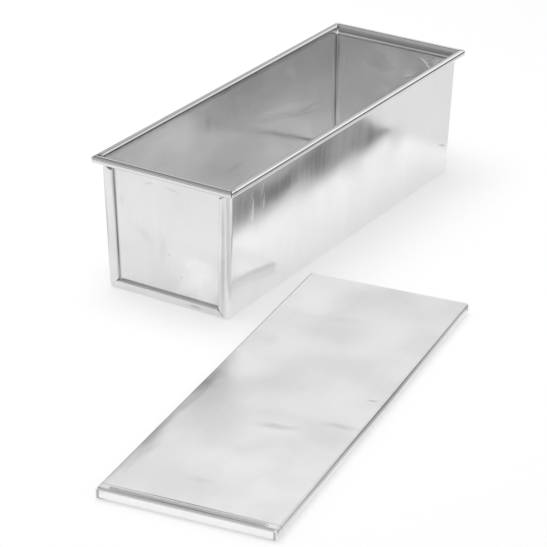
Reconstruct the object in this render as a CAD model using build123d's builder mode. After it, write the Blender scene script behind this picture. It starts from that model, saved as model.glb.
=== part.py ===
from build123d import *
from math import atan, cos, radians, sin, tan
import os

os.makedirs("parts", exist_ok=True)

# Baking space, measured inside the pan at the rim, and the lean of its walls
inner_length = 300.0
inner_width = 100.0
pan_height = 96.0
end_draft = 3.0
side_draft = 2.5

# Sheet metal and the wire in the rolled rim
sheet = 0.8
wire_diameter = 3.5
wire_play = 0.15
roll_turn = 300.0
wire_bend = 2.2
wire_joint_gap = 0.5

# Bends of the trough at its four upright corners and along its bottom edges, measured inside
upright_bend = 3.2
base_bend = 1.4

# Lock seams that hold the end panels in the trough, and the flare of the panels above them
fold_gap = 0.1
side_seam_width = 8.6
base_seam_width = 6.8
seam_drop = 7.0
seam_top_slope = 2.0
flare_angle = 34.0
flare_bend = 5.0

# Cut-outs of the blanks at the corners
mitre_gap = 0.35
mitre_notch = 2.6
corner_hole = 1.3
rim_corner = 2.0
seam_relief = 1.2
hem_gap = 1.0

# Sliding lid
lid_play = 0.6
lid_headroom = 0.3
lid_bend = 1.7
ridge_radius = 1.5
ridge_inset = 3.4
ridge_margin = 8.5
stop_inset = 2.4
stop_slit = 0.6
stop_depth = 5.9

# Where the lid lies on the table beside the pan
lid_centre_x = -218.0
lid_centre_y = -141.5
lid_heading = 8.4

# Sizes that follow from the folds
layer = sheet + fold_gap
fold_outer = layer + sheet / 2
fold_centre = sheet + fold_gap + fold_outer
side_fold = upright_bend + sheet
seam_depth = 4 * sheet + 3 * fold_gap
seam_top = pan_height - seam_drop
flap_top = seam_top - seam_top_slope
roll_inner = wire_diameter / 2 + wire_play
roll_outer = roll_inner + sheet
roll_middle = roll_inner + sheet / 2
roll_height = pan_height - roll_outer
overrun = 2 * sheet

# Lean of the walls, and the directions out of and up each wall
end_lean = atan(end_draft / pan_height)
side_lean = atan(side_draft / pan_height)
end_out = Vector(cos(end_lean), 0, -sin(end_lean))
end_up = Vector(sin(end_lean), 0, cos(end_lean))
side_out = Vector(0, cos(side_lean), -sin(side_lean))


def half_length(height, inset=0):
    """Half the length over the end seams at a height, less an inset square to the wall."""
    lean_in = end_draft * (pan_height - height) / pan_height
    return inner_length / 2 + seam_depth - lean_in - inset / cos(end_lean)


def half_width(height, inset=0):
    """Half the width over the long sides at a height, less an inset square to the wall."""
    lean_in = side_draft * (pan_height - height) / pan_height
    return inner_width / 2 + sheet - lean_in - inset / cos(side_lean)


# Centre of the wire along the ends and along the sides, tangent to each wall
end_roll_u = roll_inner
end_roll_v = (roll_height + end_roll_u * sin(end_lean)) / cos(end_lean)
end_roll_x = half_length(0) + end_roll_u * cos(end_lean) + end_roll_v * sin(end_lean)
side_roll_v = (roll_height + roll_inner * sin(side_lean)) / cos(side_lean)
side_roll_y = half_width(0) + roll_inner * cos(side_lean) + side_roll_v * sin(side_lean)
rim_half_length = end_roll_x + roll_outer
rim_half_width = side_roll_y + roll_outer

# Middle of an end panel's sheet, and of the straight flare that leads from it to the rolled edge
flare_lean = radians(flare_angle)
face_u = -sheet / 2 - 3 * layer
flare_top_u = end_roll_u - roll_middle * cos(flare_lean)
flare_top_v = end_roll_v + roll_middle * sin(flare_lean)
flare_foot_v = flare_top_v - (flare_top_u - face_u) / tan(flare_lean)

# Flat planes of the sketches that follow a leaning wall
end_section = Plane((half_length(0), 0, 0), x_dir=end_out, z_dir=(0, -1, 0))
side_section = Plane((0, half_width(0), 0), x_dir=side_out, z_dir=(1, 0, 0))


def leaning_block(low, high, inset, upright_radius, base_radius):
    """A block whose faces lean like the pan's outside, rounded at its corners and below."""
    with BuildPart() as block:
        with BuildSketch(Plane.XZ):
            with BuildLine():
                Polyline(
                    (-half_length(low, inset), low),
                    (half_length(low, inset), low),
                    (half_length(high, inset), high),
                    (-half_length(high, inset), high),
                    close=True,
                )
            make_face()
        extrude(amount=inner_width, both=True)
        with BuildSketch(Plane.YZ):
            with BuildLine():
                Polyline(
                    (-half_width(low, inset), low),
                    (half_width(low, inset), low),
                    (half_width(high, inset), high),
                    (-half_width(high, inset), high),
                    close=True,
                )
            make_face()
        extrude(amount=inner_length, both=True, mode=Mode.INTERSECT)
        base, top = block.faces().sort_by(Axis.Z)[0], block.faces().sort_by(Axis.Z)[-1]
        fillet(block.edges() - base.edges() - top.edges(), upright_radius)
        fillet(block.faces().sort_by(Axis.Z)[0].edges(), base_radius)
    return block.part


def corner_climb(low, high):
    """The way that a vertical corner of the pan climbs between two heights."""
    return Vector(half_length(high) - half_length(low), half_width(high) - half_width(low), high - low)


def corner_section(height):
    """A sketch plane square to a vertical corner, with x pointing out of the end wall."""
    foot = Vector(half_length(height), half_width(height), height)
    return Plane(foot, x_dir=end_out, z_dir=corner_climb(0, pan_height))


def end_territory(inner_shift, outer_shift):
    """The part of the rolled rim that belongs to the two ends, between the corner mitres."""
    with BuildPart() as territory:
        with BuildSketch(Plane.XY.offset(roll_height - roll_outer)):
            inner_x = rim_half_length - 2 * roll_outer - overrun - inner_shift
            inner_y = rim_half_width - 2 * roll_outer - overrun
            outer_x = rim_half_length + overrun - outer_shift
            outer_y = rim_half_width + overrun
            with BuildLine():
                Polyline(
                    (inner_x, inner_y),
                    (outer_x, outer_y),
                    (outer_x, -outer_y),
                    (inner_x, -inner_y),
                    close=True,
                )
            make_face()
        extrude(amount=2 * roll_outer + overrun)
        mirror(about=Plane.YZ)
    return territory.part


# Path of the wire, with its two ends butted in the middle of the far end
with BuildLine(Plane.XY.offset(roll_height)) as wire_path:
    FilletPolyline(
        (end_roll_x, wire_joint_gap / 2),
        (end_roll_x, side_roll_y),
        (-end_roll_x, side_roll_y),
        (-end_roll_x, -side_roll_y),
        (end_roll_x, -side_roll_y),
        (end_roll_x, -wire_joint_gap / 2),
        radius=wire_bend,
    )
wire_start = Plane((end_roll_x, wire_joint_gap / 2, roll_height), x_dir=(0, 0, 1), z_dir=(0, 1, 0))

# Room that the wire's bends need inside the rolled edges
with BuildPart() as wire_room:
    with BuildSketch(wire_start):
        Circle((wire_diameter + wire_play) / 2)
    sweep(path=wire_path.line)

# Outline of the rim from above, with its four corners dressed round
with BuildPart() as rim_block:
    with BuildSketch(Plane.XY.offset(roll_height - roll_outer)):
        RectangleRounded(2 * rim_half_length, 2 * rim_half_width, rim_corner)
    extrude(amount=2 * roll_outer)

# Small round holes left where the blanks' corners meet inside the rim
with BuildPart() as corner_holes:
    with BuildSketch(Plane.XY.offset(roll_height - roll_outer / 2)):
        hole_x = rim_half_length - 2 * roll_outer
        hole_y = rim_half_width - 2 * roll_outer
        with GridLocations(2 * hole_x, 2 * hole_y, 2, 2):
            Circle(corner_hole / 2)
    extrude(amount=2 * roll_outer + overrun)

# Hems of the trough's side flaps, tucked between the end panel and its flange
hem_low = base_seam_width - fold_outer
hem_foot = hem_low + hem_gap
with BuildPart() as side_hems:
    with BuildSketch(corner_section(hem_foot)):
        hem_start = fold_outer - side_seam_width
        with BuildLine():
            Line((-sheet / 2, hem_start + sheet), (-sheet / 2, hem_start))
            CenterArc((-sheet / 2 - layer, hem_start), layer, 0, -180)
            Line((-sheet / 2 - 2 * layer, hem_start), (-sheet / 2 - 2 * layer, -side_fold))
        trace(line_width=sheet)
    extrude(amount=corner_climb(hem_foot, flap_top).length)
    mirror(about=Plane.XZ)
    mirror(about=Plane.YZ)

# Hem of the bottom flap, the same fold laid level
with BuildPart() as base_hems:
    with BuildSketch(end_section):
        with BuildLine():
            Line((-sheet / 2, hem_low - sheet), (-sheet / 2, hem_low))
            CenterArc((-sheet / 2 - layer, hem_low), layer, 0, 180)
            Line((-sheet / 2 - 2 * layer, hem_low), (-sheet / 2 - 2 * layer, fold_centre))
        trace(line_width=sheet)
    extrude(amount=half_width(hem_low) - side_seam_width + fold_outer - hem_gap, both=True)
    mirror(about=Plane.YZ)

# Upper strips of the long sides, above the seams, with the start of their rolled edges
with BuildPart() as side_strips:
    with BuildSketch(side_section):
        with BuildLine():
            Line((-sheet / 2, seam_top - overrun), (-sheet / 2, side_roll_v))
            CenterArc((roll_inner, side_roll_v), roll_middle, 180, -roll_turn)
        trace(line_width=sheet)
    extrude(amount=half_length(seam_top, side_fold), both=True)
    mirror(about=Plane.XZ)

# Tabs at the ends of those strips, cut to the slope of the end panels' flare
with BuildPart() as side_tabs:
    with BuildSketch(side_section):
        with BuildLine():
            Line((-sheet / 2, seam_top - overrun), (-sheet / 2, side_roll_v))
        trace(line_width=sheet)
    extrude(amount=rim_half_length, both=True)
    with BuildSketch(Plane.XZ):
        tab_gap = sheet / 2 / cos(flare_lean) + mitre_gap
        with BuildLine():
            tab_outline = Polyline(
                (0, seam_top),
                (half_length(flare_foot_v) + face_u - tab_gap, seam_top),
                (half_length(flare_foot_v) + face_u - tab_gap, flare_foot_v),
                (half_length(flare_top_v) + flare_top_u - tab_gap, flare_top_v),
                (half_length(flare_top_v) + flare_top_u - tab_gap, pan_height),
                (0, pan_height),
            )
            mirror(tab_outline, about=Plane.YZ)
        make_face()
    extrude(amount=inner_width, both=True, mode=Mode.INTERSECT)
    mirror(about=Plane.XZ)

# Rolled edges of the long sides, cut off on the corner mitres
with BuildPart() as side_rolls:
    with BuildSketch(side_section):
        with BuildLine():
            CenterArc((roll_inner, side_roll_v), roll_middle, 180, -roll_turn)
        trace(line_width=sheet)
    extrude(amount=rim_half_length, both=True)
    mirror(about=Plane.XZ)
    add(end_territory(mitre_notch, mitre_gap), mode=Mode.SUBTRACT)
    add(rim_block.part, mode=Mode.INTERSECT)

# Slits on the mitres where the side and bottom flaps meet, with a relief hole at each inner end
with BuildPart() as seam_slits:
    with BuildSketch(Plane.YZ.offset(half_length(0, 3 * sheet + 2.5 * fold_gap))):
        slit_start = (half_width(base_seam_width) - side_seam_width, base_seam_width)
        with BuildLine():
            Line(slit_start, (half_width(fold_centre) - side_fold, fold_centre))
        trace(line_width=mitre_gap)
        with Locations(slit_start):
            Circle(seam_relief / 2)
    extrude(amount=seam_depth)
    mirror(about=Plane.XZ)
    mirror(about=Plane.YZ)

# Trough: one sheet that makes the bottom and both long sides, with three flaps on each end
with BuildPart() as pan_trough:
    add(leaning_block(0, seam_top, 0, upright_bend + sheet, base_bend + sheet))
    add(leaning_block(sheet, pan_height, sheet, upright_bend, base_bend), mode=Mode.SUBTRACT)
    with BuildSketch(Plane.YZ):
        flap_edge = side_seam_width - fold_outer
        with BuildLine():
            window = Polyline(
                (0, hem_low),
                (half_width(hem_low) - flap_edge, hem_low),
                (half_width(flap_top) - flap_edge, flap_top),
                (half_width(seam_top) - side_fold, seam_top),
                (half_width(seam_top) - side_fold, seam_top + overrun),
                (0, seam_top + overrun),
            )
            mirror(window, about=Plane.YZ)
        make_face()
    extrude(amount=inner_length, both=True, mode=Mode.SUBTRACT)
    add(side_hems.part)
    add(base_hems.part)
    add(side_strips.part)
    add(side_tabs.part)
    add(side_rolls.part)
    add(seam_slits.part, mode=Mode.SUBTRACT)
    add(corner_holes.part, mode=Mode.SUBTRACT)
pan_trough.part.label = "pan_trough"

# Side folds of an end panel, with the flanges that the trough's hems hook over
with BuildPart() as panel_folds:
    with BuildSketch(corner_section(fold_centre)):
        with BuildLine():
            Line((-sheet / 2 - 3 * layer, -side_fold - sheet), (-sheet / 2 - 3 * layer, -side_fold))
            CenterArc((-sheet / 2 - 2 * layer, -side_fold), layer, 180, -180)
            Line((-sheet / 2 - layer, -side_fold), (-sheet / 2 - layer, fold_outer - side_seam_width))
        trace(line_width=sheet)
    extrude(amount=corner_climb(fold_centre, flap_top).length)
    mirror(about=Plane.XZ)

# Rolled edge of an end panel, from the end of the flare over the wire, cut off on the corner mitres
with BuildPart() as panel_roll:
    with BuildSketch(end_section):
        with BuildLine():
            CenterArc((end_roll_u, end_roll_v), roll_middle, 180 - flare_angle, flare_angle - roll_turn)
        trace(line_width=sheet)
    extrude(amount=rim_half_width, both=True)
    add(end_territory(0, 0), mode=Mode.INTERSECT)
    add(rim_block.part, mode=Mode.INTERSECT)
    add(wire_room.part, mode=Mode.SUBTRACT)

# End panel: a flat sheet folded back below and at its sides, flared above the seams to reach the wire
with BuildPart() as far_end_panel:
    with BuildSketch(end_section):
        panel_step = flap_top + mitre_gap
        with BuildLine():
            Line((-sheet / 2 - layer, hem_low), (-sheet / 2 - layer, fold_centre))
            CenterArc((-sheet / 2 - 2 * layer, fold_centre), layer, 0, -180)
            FilletPolyline(
                (face_u, fold_centre),
                (face_u, flare_foot_v),
                (flare_top_u, flare_top_v),
                radius=flare_bend,
            )
            CenterArc((end_roll_u, end_roll_v), roll_middle, 180 - flare_angle, flare_angle - roll_turn)
        trace(line_width=sheet)
    extrude(amount=rim_half_width, both=True)
    with BuildSketch(Plane.YZ):
        with BuildLine():
            outline = Polyline(
                (0, 0),
                (half_width(0) - side_fold - sheet / 2, 0),
                (half_width(panel_step) - side_fold - sheet / 2, panel_step),
                (half_width(panel_step, sheet + mitre_gap), panel_step),
                (half_width(pan_height, sheet + mitre_gap), pan_height + overrun),
                (0, pan_height + overrun),
            )
            mirror(outline, about=Plane.YZ)
        make_face()
    extrude(amount=inner_length, mode=Mode.INTERSECT)
    add(panel_folds.part)
    add(panel_roll.part)
    add(corner_holes.part, mode=Mode.SUBTRACT)
far_end_panel.part.label = "far_end_panel"

# The other end panel is the same piece turned round
with BuildPart() as near_end_panel:
    mirror(far_end_panel.part, about=Plane.YZ)
near_end_panel.part.label = "near_end_panel"

# Rim wire: one steel rod bent into a frame
with BuildPart() as rim_wire:
    with BuildSketch(wire_start):
        Circle(wire_diameter / 2)
    sweep(path=wire_path.line)
rim_wire.part.label = "rim_wire"

# Lid sizes that follow from the rim that it slides along
lid_half_width = rim_half_width + lid_play + sheet
lid_height = 2 * sheet + 2 * roll_outer + lid_headroom
lid_length = 2 * rim_half_length - roll_outer + lid_play + sheet
lid_return = lid_half_width - half_width(pan_height) - lid_play
lid_middle = lid_height - sheet / 2
lid_near = -lid_length / 2
lid_bend_middle = lid_bend - sheet / 2
stop_half_width = lid_half_width - stop_inset
ridge_along = lid_near + ridge_inset
ridge_half_width = lid_half_width - ridge_margin

# The lid's own directions, and sketch planes square to it, along it and in its top sheet
lid_along = Vector(cos(radians(lid_heading)), sin(radians(lid_heading)), 0)
lid_across = Vector(-sin(radians(lid_heading)), cos(radians(lid_heading)), 0)
lid_centre = Vector(lid_centre_x, lid_centre_y, 0)
lid_section = Plane(lid_centre + lid_along * lid_near, x_dir=lid_across, z_dir=lid_along)
lid_profile = Plane(lid_centre, x_dir=lid_along, z_dir=-lid_across)
lid_top = Plane(lid_centre + Vector(0, 0, lid_middle), x_dir=lid_along)


def ridge_form(radius):
    """A round bar with round ends, lying across the lid in the middle of its top sheet."""
    with BuildPart() as bar:
        with BuildSketch(lid_profile):
            with Locations((ridge_along, lid_middle)):
                Circle(radius)
        extrude(amount=ridge_half_width, both=True)
        with Locations(lid_top):
            with Locations((ridge_along, ridge_half_width), (ridge_along, -ridge_half_width)):
                Sphere(radius)
    return bar.part


# Raised outside of the pressed ridge
with BuildPart() as ridge_outside:
    add(ridge_form(ridge_radius))
    split(bisect_by=lid_top, keep=Keep.TOP)

# Sliding lid: one sheet with a channel folded down each long edge, and a stop turned down at the near end
with BuildPart() as sliding_lid:
    with BuildSketch(lid_section):
        with BuildLine():
            FilletPolyline(
                (-lid_half_width + lid_return, sheet / 2),
                (-lid_half_width + sheet / 2, sheet / 2),
                (-lid_half_width + sheet / 2, lid_middle),
                (lid_half_width - sheet / 2, lid_middle),
                (lid_half_width - sheet / 2, sheet / 2),
                (lid_half_width - lid_return, sheet / 2),
                radius=lid_bend_middle,
            )
        trace(line_width=sheet)
    extrude(amount=lid_length)
    with BuildSketch(lid_top):
        with Locations((lid_near + lid_bend / 2, 0)):
            Rectangle(lid_bend, 2 * (stop_half_width + stop_slit))
    extrude(amount=sheet, both=True, mode=Mode.SUBTRACT)
    with BuildSketch(lid_profile):
        with BuildLine():
            FilletPolyline(
                (lid_near + lid_bend + overrun, lid_middle),
                (lid_near + sheet / 2, lid_middle),
                (lid_near + sheet / 2, lid_height - stop_depth),
                radius=lid_bend_middle,
            )
        trace(line_width=sheet)
    extrude(amount=stop_half_width, both=True)
    add(ridge_outside.part)
    add(ridge_form(ridge_radius - sheet), mode=Mode.SUBTRACT)
sliding_lid.part.label = "sliding_lid"

for piece in (pan_trough, near_end_panel, far_end_panel, rim_wire, sliding_lid):
    export_step(piece.part, f"parts/{piece.part.label}.step")
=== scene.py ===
from math import cos, radians, sin

import bpy
from mathutils import Matrix, Vector


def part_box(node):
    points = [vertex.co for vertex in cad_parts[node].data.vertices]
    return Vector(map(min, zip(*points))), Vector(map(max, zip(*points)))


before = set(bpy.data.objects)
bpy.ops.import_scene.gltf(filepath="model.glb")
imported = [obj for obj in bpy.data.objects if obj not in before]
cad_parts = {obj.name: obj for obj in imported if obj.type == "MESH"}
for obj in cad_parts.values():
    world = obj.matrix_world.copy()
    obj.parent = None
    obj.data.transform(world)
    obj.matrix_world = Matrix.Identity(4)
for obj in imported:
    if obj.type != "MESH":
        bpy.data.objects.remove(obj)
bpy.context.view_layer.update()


# Trough. The bottom and both long sides are one sheet of bright rolled aluminium, bent up along the two
# bottom edges. Its end flaps are hooked into the end panels, and its top edges are rolled round the wire.
mm = 0.001


def new_metal(name, colour, roughness):
    """A bare metal, and its node tree to build on."""
    metal = bpy.data.materials.new(name)
    metal.use_nodes = True
    shader = metal.node_tree.nodes["Principled BSDF"]
    shader.inputs["Base Color"].default_value = (*colour, 1)
    shader.inputs["Metallic"].default_value = 1.0
    shader.inputs["Roughness"].default_value = roughness
    return metal, metal.node_tree


def place_in(tree, centre, size, turn=(0, 0, 0)):
    """The object's own coordinates, from a centre, in units of a size in mm, on axes turned in degrees."""
    place = tree.nodes.new("ShaderNodeTexCoord")
    mapping = tree.nodes.new("ShaderNodeMapping")
    mapping.vector_type = "TEXTURE"
    mapping.inputs["Location"].default_value = [side * mm for side in centre]
    mapping.inputs["Rotation"].default_value = [radians(angle) for angle in turn]
    mapping.inputs["Scale"].default_value = [side * mm for side in size]
    tree.links.new(place.outputs["Object"], mapping.inputs["Vector"])
    return mapping.outputs["Vector"]


def noise(tree, place, detail):
    """Soft noise from 0 to 1 that changes over each unit of the place."""
    texture = tree.nodes.new("ShaderNodeTexNoise")
    texture.inputs["Scale"].default_value = 1.0
    texture.inputs["Detail"].default_value = detail
    tree.links.new(place, texture.inputs["Vector"])
    return texture.outputs["Fac"]


def eased(tree, value, old, new):
    """A value taken from one range to another, eased at both ends."""
    fit = tree.nodes.new("ShaderNodeMapRange")
    fit.interpolation_type = "SMOOTHSTEP"
    fit.inputs["From Min"].default_value, fit.inputs["From Max"].default_value = old
    fit.inputs["To Min"].default_value, fit.inputs["To Max"].default_value = new
    tree.links.new(value, fit.inputs["Value"])
    return fit.outputs["Result"]


def combine(tree, operation, *values):
    """Values and numbers added up, subtracted, multiplied or compared, two at a time."""
    total = values[0]
    for value in values[1:]:
        maths = tree.nodes.new("ShaderNodeMath")
        maths.operation = operation
        for part, socket in zip((total, value), maths.inputs):
            if isinstance(part, float):
                socket.default_value = part
            else:
                tree.links.new(part, socket)
        total = maths.outputs[0]
    return total


def marks(tree, spots, origin=(0, 0, 0), heading=0):
    """Soft ragged patches, from strengths, centres and half sizes in mm, and tilts in degrees if any."""
    fading = (0.6, 1.4)
    patches = []
    for strength, centre, half_size, *tilt in spots:
        tilt_x, tilt_y, tilt_z = tilt[0] if tilt else (0, 0, 0)
        turn = (tilt_x, tilt_y, tilt_z + heading)
        step = Matrix.Rotation(radians(heading), 3, "Z") @ Vector(centre)
        place = [start + side for start, side in zip(origin, step)]
        reach = tree.nodes.new("ShaderNodeVectorMath")
        reach.operation = "LENGTH"
        tree.links.new(place_in(tree, place, half_size, turn), reach.inputs[0])
        ragged_cell = [side / 2.5 for side in half_size]
        ragged = noise(tree, place_in(tree, place, ragged_cell, turn), 3.0)
        edge = combine(tree, "ADD", reach.outputs["Value"], ragged)
        patches.append(eased(tree, edge, fading, (strength, 0.0)))
    return patches


def finish_sheet(tree, grain_cell, cloud_depth, wave_cell, wave_height, heading=0,
                 tones=(), polish=(), dents=()):
    """Rolled metal: grain lines, a cloudy bloom, slow waves left by forming, smudges with painted shade and
    highlights, shine and dents.
    """
    cloud_cell = (38, 38, 38)
    grain_shade = 0.01
    grain_depth = 0.0015
    shader = tree.nodes["Principled BSDF"]
    roughness = shader.inputs["Roughness"].default_value
    grain = noise(tree, place_in(tree, (0, 0, 0), grain_cell, (0, 0, heading)), 3.0)
    cloud = noise(tree, place_in(tree, (0, 0, 0), cloud_cell, (0, 0, heading)), 5.0)
    waves = noise(tree, place_in(tree, (0, 0, 0), wave_cell, (0, 0, heading)), 1.0)
    fine_lines = eased(tree, grain, (0.3, 0.7), (-grain_shade, grain_shade))

    shine = combine(
        tree,
        "ADD",
        eased(tree, cloud, (0.3, 0.7), (roughness - 0.03, roughness + 0.04)),
        fine_lines,
        *polish,
    )
    tree.links.new(shine, shader.inputs["Roughness"])

    tone = combine(
        tree,
        "ADD",
        eased(tree, cloud, (0.25, 0.75), (1.0 + cloud_depth, 1.0 - cloud_depth)),
        fine_lines,
        *tones,
    )
    tint = tree.nodes.new("ShaderNodeVectorMath")
    tint.operation = "SCALE"
    tint.inputs[0].default_value = shader.inputs["Base Color"].default_value[:3]
    tree.links.new(tone, tint.inputs["Scale"])
    tree.links.new(tint.outputs["Vector"], shader.inputs["Base Color"])

    relief = tree.nodes.new("ShaderNodeBump")
    relief.inputs["Distance"].default_value = mm
    height = combine(
        tree,
        "ADD",
        combine(tree, "MULTIPLY", waves, wave_height),
        combine(tree, "MULTIPLY", grain, grain_depth),
        *dents,
    )
    tree.links.new(height, relief.inputs["Height"])
    tree.links.new(relief.outputs["Normal"], shader.inputs["Normal"])


bright = (0.91, 0.91, 0.912)
upright_grain = (1.6, 1.6, 60.0)
trough_metal, trough_tree = new_metal("bright_rolled_aluminium", bright, 0.16)
finish_sheet(
    trough_tree,
    grain_cell=upright_grain,
    cloud_depth=0.015,
    wave_cell=(95.0, 95.0, 60.0),
    wave_height=1.4,
    tones=marks(trough_tree, [
        # Painted shade on the flaps at the near end
        (-0.24, (-152.5, 0, 45), (5, 160, 160)),
        # Painted shade along the left and the right bead
        (-0.38, (0, 52.5, 95), (1600, 7, 7)),
        (-0.24, (0, -52.5, 95), (1600, 7, 7)),
        # A short scratch on the right side, near the far end
        (-0.35, (139, -49, 25), (9, 3, 1.4), (0, 22, 0)),
        # A smudge on the near end's bottom seam, and painted shade in stripes down its two upright seams
        (-0.25, (-151.5, -22, 3.5), (4, 9, 1.6)),
        (-0.28, (-151.5, 48.3, 55), (5, 2.6, 60), (-1.5, 0, 0)),
        (-0.22, (-151.5, -45, 50), (5, 2.4, 70), (1.5, 0, 0)),
        # A dark line down the right side, beside the near corner
        (-0.45, (-148.6, -50, 55), (1.2, 4, 20)),
        # Two smudges, a lighter patch, and a painted highlight in a strip beside the far seam, on the left
        # side
        (-0.10, (-26, 49.5, 76), (6, 4, 12)),
        (-0.12, (-138, 49.5, 80), (22, 4, 18)),
        (0.08, (83, 49.5, 80), (14, 4, 7)),
        (0.09, (147, 48.5, 45), (1.6, 4, 46)),
    ]),
    polish=marks(trough_tree, [
        # Both beads, where the lid slides
        (-0.09, (0, 52, 96), (1200, 9, 9)),
        (-0.09, (0, -52, 96), (1200, 9, 9)),
        # Rubbed streaks on the left side
        (-0.11, (84, 48.8, 46), (60, 8, 4), (0, 11, 0)),
        (-0.12, (57, 48.3, 30), (20, 8, 2.4)),
        (-0.12, (9, 48.3, 31), (20, 8, 2.6)),
    ]),
    dents=marks(trough_tree, [
        # A long crease in the left side, and two upright ones in the right side
        (-0.14, (84, 48.8, 49), (60, 8, 7), (0, 11, 0)),
        (0.08, (-126, -50, 73), (4, 4, 14)),
        (0.05, (-112, -50, 76), (3, 4, 12)),
    ]),
)
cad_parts["pan_trough"].data.materials[0] = trough_metal

# End panels. Two sheets of the same aluminium, folded back at the bottom and the sides so that the trough's
# flaps hook over them, and flared at the top, where they are rolled round the wire. The near one is a little
# rougher, and its colour is painted darker, as painted shade.
end_waves = (50.0, 50.0, 50.0)
far_metal, far_tree = new_metal("bright_aluminium_far_end", (0.88, 0.88, 0.882), 0.18)
finish_sheet(
    far_tree,
    grain_cell=upright_grain,
    cloud_depth=0.02,
    wave_cell=end_waves,
    wave_height=0.7,
    tones=marks(far_tree, [
        # Painted shade along the flare
        (-0.55, (152, 0, 91), (8, 400, 4.0)),
        # Two dark blotches, a lighter one under them, and a painted highlight in a strip beside the left
        # seam
        (-0.16, (149.3, 12, 74), (5, 17, 12)),
        (-0.14, (149.3, -26, 72), (5, 14, 9)),
        (0.09, (149.3, 8, 52), (5, 15, 9)),
        (0.09, (149, 46.5, 55), (5, 1.8, 36)),
    ]),
    dents=marks(far_tree, [
        # Two round dings, and three short creases near the right corner
        (-0.50, (149.4, 11, 78), (6, 2.2, 2.2)),
        (-0.40, (149.3, 23, 70), (6, 2.6, 2.6)),
        (-0.50, (149.2, -13, 71), (6, 8, 2.8), (-25, 0, 0)),
        (-0.50, (149.7, -29, 82), (6, 11, 2.8), (35, 0, 0)),
        (-0.40, (149.7, -37, 85), (6, 8, 2.4), (-20, 0, 0)),
    ]),
)
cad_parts["far_end_panel"].data.materials[0] = far_metal

# The near panel's colour is darker than the far one's: painted shade, not a different metal.
near_metal, near_tree = new_metal("near_end_aluminium_painted_darker", (0.76, 0.76, 0.763), 0.2)
finish_sheet(
    near_tree,
    grain_cell=upright_grain,
    cloud_depth=0.03,
    wave_cell=end_waves,
    wave_height=0.5,
    tones=marks(near_tree, [
        # Painted shade on the two dings under the rim
        (-0.12, (-150.4, 14, 83.5), (3, 7, 1.3), (-10, 0, 0)),
        (-0.10, (-150.4, -4, 83), (3, 9, 1.5), (8, 0, 0)),
        # Two specks
        (-0.35, (-148.9, -0.6, 35), (3, 1.0, 1.0)),
        (-0.25, (-148.5, -10.2, 20.8), (3, 1.3, 1.1)),
        # Faint smudges, and painted light on a patch low on the right
        (-0.06, (-149, 4, 38), (3, 4, 17)),
        (-0.05, (-149.5, 20, 46), (3, 14, 5), (30, 0, 0)),
        (-0.06, (-149.8, 36, 66), (3, 3, 9)),
        (-0.06, (-148.2, -38, 12), (3, 3, 8)),
        (0.14, (-148.5, -24, 20), (6, 26, 26)),
        # Painted shade in the two upright seams
        (-0.50, (-149.2, 40.8, 45), (4, 0.9, 70), (-1.5, 0, 0)),
        (-0.50, (-149.2, -40.8, 45), (4, 0.9, 70), (1.5, 0, 0)),
    ]),
    polish=marks(near_tree, [
        # The bead, where the lid slides on
        (-0.13, (-154, 0, 96), (9, 800, 9)),
    ]),
    dents=marks(near_tree, [
        # Shallow dings: two under the rim, one by the left seam and one in the middle
        (0.10, (-150.2, 14, 82), (4, 8, 2.0), (-15, 0, 0)),
        (0.08, (-150.2, -3, 81), (4, 6, 1.8), (25, 0, 0)),
        (0.06, (-149.8, 34, 68), (4, 2.5, 9), (-12, 0, 0)),
        (0.05, (-149, 6, 42), (4, 3, 12), (10, 0, 0)),
    ]),
)
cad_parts["near_end_panel"].data.materials[0] = near_metal

# Rim wire. One drawn steel rod, bent into a frame with its ends butted at the far end, and sealed inside the
# rolled edges of the trough and the end panels. It shows only in the notches at the rim's corners.
wire_metal, wire_tree = new_metal("dull_drawn_steel", (0.4, 0.4, 0.41), 0.4)
finish_sheet(
    wire_tree,
    grain_cell=(20.0, 0.4, 0.4),
    cloud_depth=0.08,
    wave_cell=(30.0, 30.0, 30.0),
    wave_height=0.02,
)
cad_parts["rim_wire"].data.materials[0] = wire_metal

# Sliding lid. One sheet of satin aluminium with a channel folded down each long edge to run on the rim, a
# pressed ridge across its near end, and a stop turned down there. Its marks are placed along and across it.
lid_heading = 8.4
lid_face = 7.0
lid_low, lid_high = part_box("sliding_lid")
lid_x, lid_y = [(low + high) / 2 / mm for low, high in zip(lid_low, lid_high)][:2]
lid_middle = (lid_x, lid_y, lid_face)
lid_metal, lid_tree = new_metal("satin_rolled_aluminium", (0.93, 0.93, 0.932), 0.32)
finish_sheet(
    lid_tree,
    grain_cell=(60.0, 1.6, 1.6),
    cloud_depth=0.012,
    wave_cell=(120.0, 90.0, 90.0),
    wave_height=0.15,
    tones=marks(lid_tree, [
        # Painted shade along the left edge
        (-0.30, (-10, 60, 0), (34, 17, 6), (0, 0, -6)),
        (-0.60, (-70, 65, 0), (150, 21, 6)),
        # Painted shade on both sides of the ridge, and along the right edge
        (-0.60, (-150.9, 0, 0), (1.1, 95, 6)),
        (-0.50, (-155.6, 0, 0), (0.9, 105, 6)),
        (-0.70, (0, -56.6, 0), (320, 0.8, 6)),
        # Two rubbed smudges and a short scratch
        (-0.20, (-48, -8, 0), (6, 19, 6), (0, 0, 12)),
        (-0.16, (-32, -43, 0), (5, 17, 6), (0, 0, 4)),
        (-0.40, (5.5, -48.5, 0), (1.5, 5.0, 6), (0, 0, 20)),
        # Faint smudges
        (-0.07, (55, 40, 0), (12, 9, 4)),
        (-0.06, (100, 10, 0), (9, 20, 4), (0, 0, 20)),
        (-0.06, (-124, 6, 0), (5, 12, 4)),
    ], lid_middle, lid_heading),
    heading=lid_heading,
)
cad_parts["sliding_lid"].data.materials[0] = lid_metal

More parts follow.
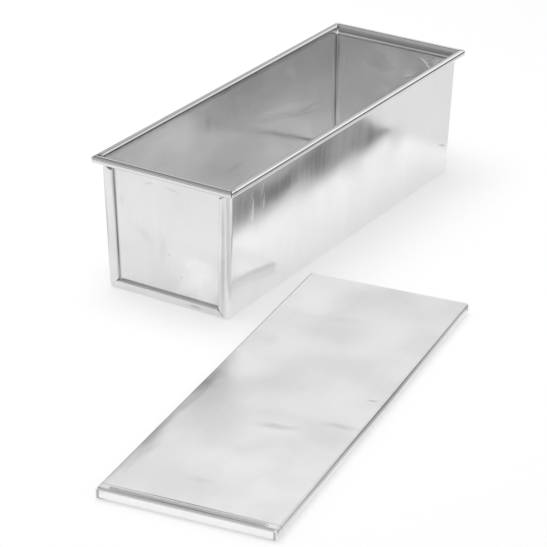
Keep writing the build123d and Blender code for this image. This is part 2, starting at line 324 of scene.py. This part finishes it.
# Table. A plain white paper sheet, laid flat under the pan and its lid. It shows as white to the lens and in
# the metal, and keeps a soft shadow.
table_width = 6000 * mm
paper_grey = 0.54
paper_glow = 0.48
bpy.ops.mesh.primitive_plane_add(size=table_width)
table = bpy.context.object
table.name = "table"
paper = bpy.data.materials.new("white_paper")
paper.use_nodes = True
paper_tree = paper.node_tree
paper_tree.nodes.clear()
matt = paper_tree.nodes.new("ShaderNodeBsdfDiffuse")
matt.inputs["Color"].default_value = (paper_grey, paper_grey, paper_grey, 1)
glow = paper_tree.nodes.new("ShaderNodeEmission")
ray = paper_tree.nodes.new("ShaderNodeLightPath")
white_rays = [ray.outputs[kind] for kind in ("Is Camera Ray", "Is Glossy Ray", "Is Transmission Ray")]
seen_white = combine(paper_tree, "MAXIMUM", *white_rays)
paper_tree.links.new(combine(paper_tree, "MULTIPLY", seen_white, paper_glow), glow.inputs["Strength"])
matt_and_glow = paper_tree.nodes.new("ShaderNodeAddShader")
paper_tree.links.new(matt.outputs[0], matt_and_glow.inputs[0])
paper_tree.links.new(glow.outputs[0], matt_and_glow.inputs[1])
paper_surface = paper_tree.nodes.new("ShaderNodeOutputMaterial")
paper_tree.links.new(matt_and_glow.outputs[0], paper_surface.inputs["Surface"])
table.data.materials.append(paper)

# Grey veil, a painted reflection. A thin grey see-through sheet lies flat in front of the pan's right side,
# where only the bright metal sees it. It paints the dark band along the top of that side and the duller tone
# at its far end.
veil_outline = [(-58, -105), (-40, -320), (400, -320), (400, -62), (150, -62), (150, -105)]
veil_height = 1
veil_corners = [(x * mm, y * mm, veil_height * mm) for x, y in veil_outline]
veil_mesh = bpy.data.meshes.new("painted_reflection_veil")
veil_mesh.from_pydata(veil_corners, [], [range(len(veil_corners))])
veil = bpy.data.objects.new("painted_reflection_veil", veil_mesh)
bpy.context.scene.collection.objects.link(veil)
# Its material is a painted reflection: it dims the table only where the metal mirrors it.
painted_reflection = bpy.data.materials.new("painted_reflection_grey")
painted_reflection.use_nodes = True
painted_reflection_tree = painted_reflection.node_tree
painted_reflection_tree.nodes.clear()
axes = painted_reflection_tree.nodes.new("ShaderNodeSeparateXYZ")
painted_reflection_tree.links.new(place_in(painted_reflection_tree, (0, 0, 0), (1, 1, 1)), axes.inputs[0])
along, across = axes.outputs["X"], axes.outputs["Y"]
# The band is darkest from 124 to 143 mm out from the pan's middle line. It fades out towards the pan, is a
# little over half as dark further out, weakens towards the near end, and stops past the far end.
band = combine(
    painted_reflection_tree,
    "MULTIPLY",
    eased(painted_reflection_tree, across, (-108.0, -124.0), (0.0, 0.85)),
    eased(painted_reflection_tree, across, (-143.0, -150.0), (1.0, 0.55)),
    eased(painted_reflection_tree, along, (-55.0, 20.0), (0.7, 1.0)),
    eased(painted_reflection_tree, along, (186.0, 200.0), (1.0, 0.0)),
)
far_shade = eased(painted_reflection_tree, along, (170.0, 200.0), (0.0, 0.2))
dark = combine(painted_reflection_tree, "MAXIMUM", band, far_shade)
see_through = painted_reflection_tree.nodes.new("ShaderNodeBsdfTransparent")
painted_reflection_tree.links.new(combine(painted_reflection_tree, "SUBTRACT", 1.0, dark), see_through.inputs["Color"])
gauze_surface = painted_reflection_tree.nodes.new("ShaderNodeOutputMaterial")
painted_reflection_tree.links.new(see_through.outputs[0], gauze_surface.inputs["Surface"])
veil_mesh.materials.append(painted_reflection)
veil.visible_camera = False
veil.visible_diffuse = False
veil.visible_transmission = False
veil.visible_shadow = False

# Studio light. A backdrop with a bright band above a dim foot, a room that is lit on the right behind the
# lens and dimmer on the left, dark flags and bright windows in it, and a soft box overhead.
world = bpy.data.worlds.new("studio")
bpy.context.scene.world = world
world.use_nodes = True
sky_tree = world.node_tree
way = sky_tree.nodes.new("ShaderNodeTexCoord").outputs["Generated"]


def toward(heading, pitch):
    """How far the sky's direction agrees with a heading and a pitch in degrees: 1 where it meets them."""
    dot = sky_tree.nodes.new("ShaderNodeVectorMath")
    dot.operation = "DOT_PRODUCT"
    turn, rise = radians(heading), radians(pitch)
    dot.inputs[1].default_value = (cos(turn) * cos(rise), sin(turn) * cos(rise), sin(rise))
    sky_tree.links.new(way, dot.inputs[0])
    return dot.outputs["Value"]


def greys_up(stops):
    """Greys up the sky, from pairs of a pitch in degrees and a grey."""
    ramp = sky_tree.nodes.new("ShaderNodeValToRGB")
    points = ramp.color_ramp.elements
    while len(points) < len(stops):
        points.new(0.5)
    for point, (pitch, shade) in zip(points, stops):
        point.position = sin(radians(pitch))
        point.color = (shade, shade, shade, 1)
    sky_tree.links.new(toward(0, 90), ramp.inputs["Fac"])
    return ramp.outputs["Color"]


def blend(share, first, second):
    """One colour that turns into another."""
    mix = sky_tree.nodes.new("ShaderNodeMix")
    mix.data_type = "RGBA"
    sky_tree.links.new(share, mix.inputs["Factor"])
    for name, colour in (("A", first), ("B", second)):
        if isinstance(colour, tuple):
            mix.inputs[name].default_value = colour
        else:
            sky_tree.links.new(colour, mix.inputs[name])
    return mix.outputs["Result"]


backdrop = greys_up([
    (0, 0.4), (22, 0.4), (25, 1.05), (38, 1.05), (45, 0.6), (52, 0.45), (58, 0.25), (66, 0.3), (75, 0.9),
])
room_right = greys_up([
    (0, 0.35), (8, 0.4), (15, 0.95), (33, 0.95), (43, 0.45), (64, 0.25), (75, 0.9),
])
room_left = greys_up([
    (0, 0.3), (11, 0.33), (17, 0.9), (26, 0.9), (31, 0.35), (44, 0.35), (52, 0.5), (60, 0.5), (66, 0.3),
    (75, 0.9),
])
pan_left = toward(90, 0)
room = blend(eased(sky_tree, pan_left, (-0.15, 0.25), (0.0, 1.0)), room_right, room_left)
lens_ahead = toward(31.8, 0)
sky = blend(eased(sky_tree, lens_ahead, (0.2, 0.6), (0.0, 1.0)), room, backdrop)
# Heading and pitch, reach in degrees and grey. The three flags are high on the left, low on the right and
# high ahead of the lens. The two windows are behind the lens and on the right.
flags_and_windows = [
    (78, 56, 14, 0.12),
    (-38, 8, 14, 0.08),
    (8, 40, 9, 0.25),
    (-148, 23, 13, 1.08),
    (-32, 27, 14, 1.2),
]
for heading, pitch, reach, shade in flags_and_windows:
    rim, core = cos(radians(reach)), cos(radians(reach / 2))
    patch = eased(sky_tree, toward(heading, pitch), (rim, core), (0.0, 1.0))
    sky = blend(patch, sky, (shade, shade, shade, 1))
lens_ray = sky_tree.nodes.new("ShaderNodeLightPath").outputs["Is Camera Ray"]
sky_tree.links.new(blend(lens_ray, sky, (1, 1, 1, 1)), sky_tree.nodes["Background"].inputs["Color"])

soft_box_width = 1000 * mm
soft_box_watts = 10.0
soft_box_place = Vector((-100, 250, 1400)) * mm
soft_box = bpy.data.lights.new("soft_box", "AREA")
soft_box.size = soft_box_width
soft_box.energy = soft_box_watts
soft_box_stand = bpy.data.objects.new("soft_box", soft_box)
soft_box_stand.location = soft_box_place
soft_box_stand.rotation_euler = soft_box_stand.location.to_track_quat("Z", "Y").to_euler()
soft_box_stand.visible_glossy = False
bpy.context.scene.collection.objects.link(soft_box_stand)
# The pan's inside is seen through several reflections, one after another.
bpy.context.scene.cycles.glossy_bounces = 12

# Camera. It looks down on the pan's near right corner from the photograph's angle, from far off through a
# long lens, and leans over a little, as the photograph does.
view_heading = radians(31.81)
view_pitch = radians(25.47)
view_roll = radians(0.69)
aim_point = Vector((-72.5, -34.4, 0)) * mm
camera_distance = 1670.0 * mm
focal_length = 161.0
sensor_width = 36

run, drop = cos(view_pitch), sin(view_pitch)
forward = Vector((cos(view_heading) * run, sin(view_heading) * run, -drop))
level = Vector((sin(view_heading), -cos(view_heading), 0))
upright = level.cross(forward)
right = level * cos(view_roll) + upright * sin(view_roll)
up = upright * cos(view_roll) - level * sin(view_roll)
camera_turn = Matrix((right, up, -forward)).transposed().to_4x4()
camera_data = bpy.data.cameras.new("camera")
camera_data.lens = focal_length
camera_data.sensor_width = sensor_width
camera = bpy.data.objects.new("camera", camera_data)
camera.matrix_world = Matrix.Translation(aim_point - forward * camera_distance) @ camera_turn
bpy.context.scene.collection.objects.link(camera)
bpy.context.scene.camera = camera

bpy.context.scene.view_settings.view_transform = "Standard"
